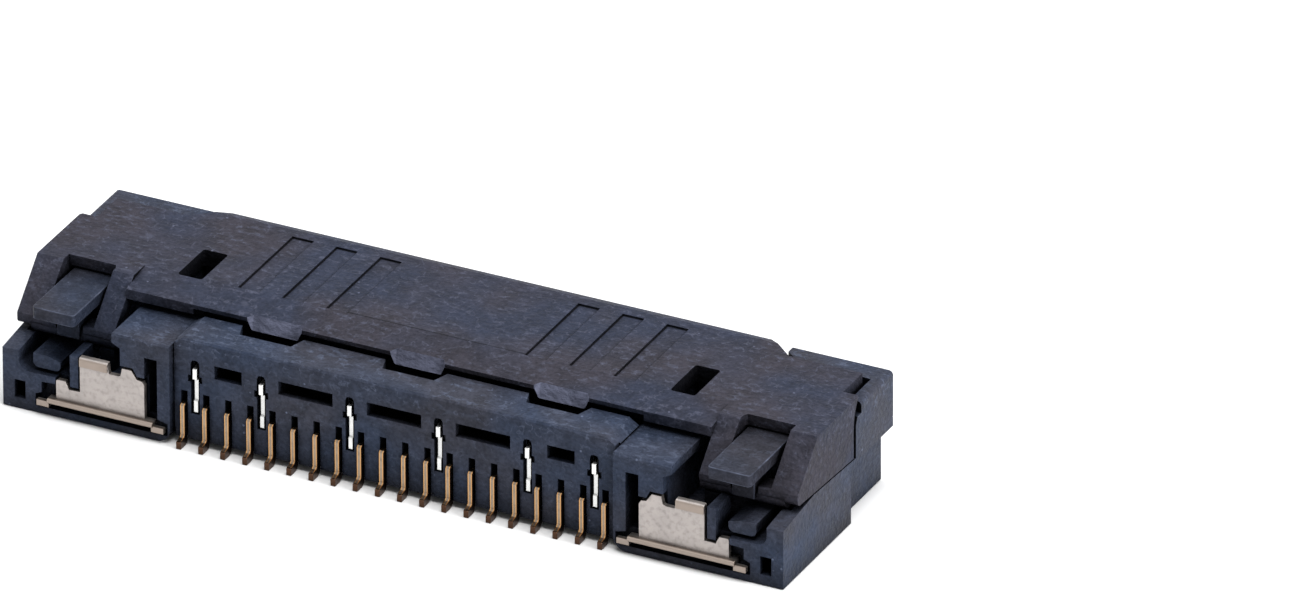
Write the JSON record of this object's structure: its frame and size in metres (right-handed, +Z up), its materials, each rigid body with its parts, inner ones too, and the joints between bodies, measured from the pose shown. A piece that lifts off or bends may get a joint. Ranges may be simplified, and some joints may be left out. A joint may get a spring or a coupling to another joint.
{
  "type": "fpc connector",
  "caption": "Low board-mount connector for a flat flexible cable: comb of fine contacts in a moulded body, hinged lock cover, two press levers and solder hold-downs.",
  "frame": {"origin": "middle of the length, on the board plane, under the front face where the cable goes in", "axes": "+X along the row of contacts, +Y from the cable mouth to the solder tails, +Z up from the board"},
  "size_m": [0.0176, 0.0051, 0.0027],
  "materials": {
    "housing_plastic": "satin",
    "cover_plastic": "matte",
    "gold_plating": "satin",
    "bright_plating": "satin",
    "tin_plating": "satin"
  },
  "bodies": {
    "base": {"housing": "housing_plastic", "contact_01": "gold_plating", "contact_02": "gold_plating", "contact_03": "gold_plating", "contact_04": "gold_plating", "contact_05": "gold_plating", "contact_06": "gold_plating", "contact_07": "gold_plating", "contact_08": "gold_plating", "contact_09": "gold_plating", "contact_10": "gold_plating", "contact_11": "gold_plating", "contact_12": "gold_plating", "contact_13": "gold_plating", "contact_14": "gold_plating", "contact_15": "gold_plating", "contact_16": "gold_plating", "contact_17": "gold_plating", "contact_18": "gold_plating", "contact_19": "gold_plating", "contact_20": "gold_plating", "shield_plate_1": "bright_plating", "shield_plate_2": "bright_plating", "shield_plate_3": "bright_plating", "shield_plate_4": "bright_plating", "shield_plate_5": "bright_plating", "shield_plate_6": "bright_plating", "hold_down_left": "tin_plating", "hold_down_right": "tin_plating"},
    "cover": {"cover": "cover_plastic"},
    "lever_left": {"release_lever_left": "housing_plastic"},
    "lever_right": {"release_lever_right": "housing_plastic"}
  },
  "joints": [
    {"name": "cover_hinge", "type": "hinge", "parent": "base", "child": "cover", "pos_m": [0, 0.00412, 0.0016], "axis": [-1, 0, 0], "range_deg": [0, 10], "stiffness_Nm_per_rad": 0.000007},
    {"name": "lever_left_hinge", "type": "hinge", "parent": "base", "child": "lever_left", "pos_m": [-0.00764, 0.00412, 0.0016], "axis": [-1, 0, 0], "range_deg": [0, 10]},
    {"name": "lever_right_hinge", "type": "hinge", "parent": "base", "child": "lever_right", "pos_m": [0.00764, 0.00412, 0.0016], "axis": [-1, 0, 0], "range_deg": [0, 10]}
  ],
  "couplings": [
    {"joint": "lever_left_hinge", "follows": "cover_hinge", "ratio": 1},
    {"joint": "lever_right_hinge", "follows": "cover_hinge", "ratio": 1}
  ]
}
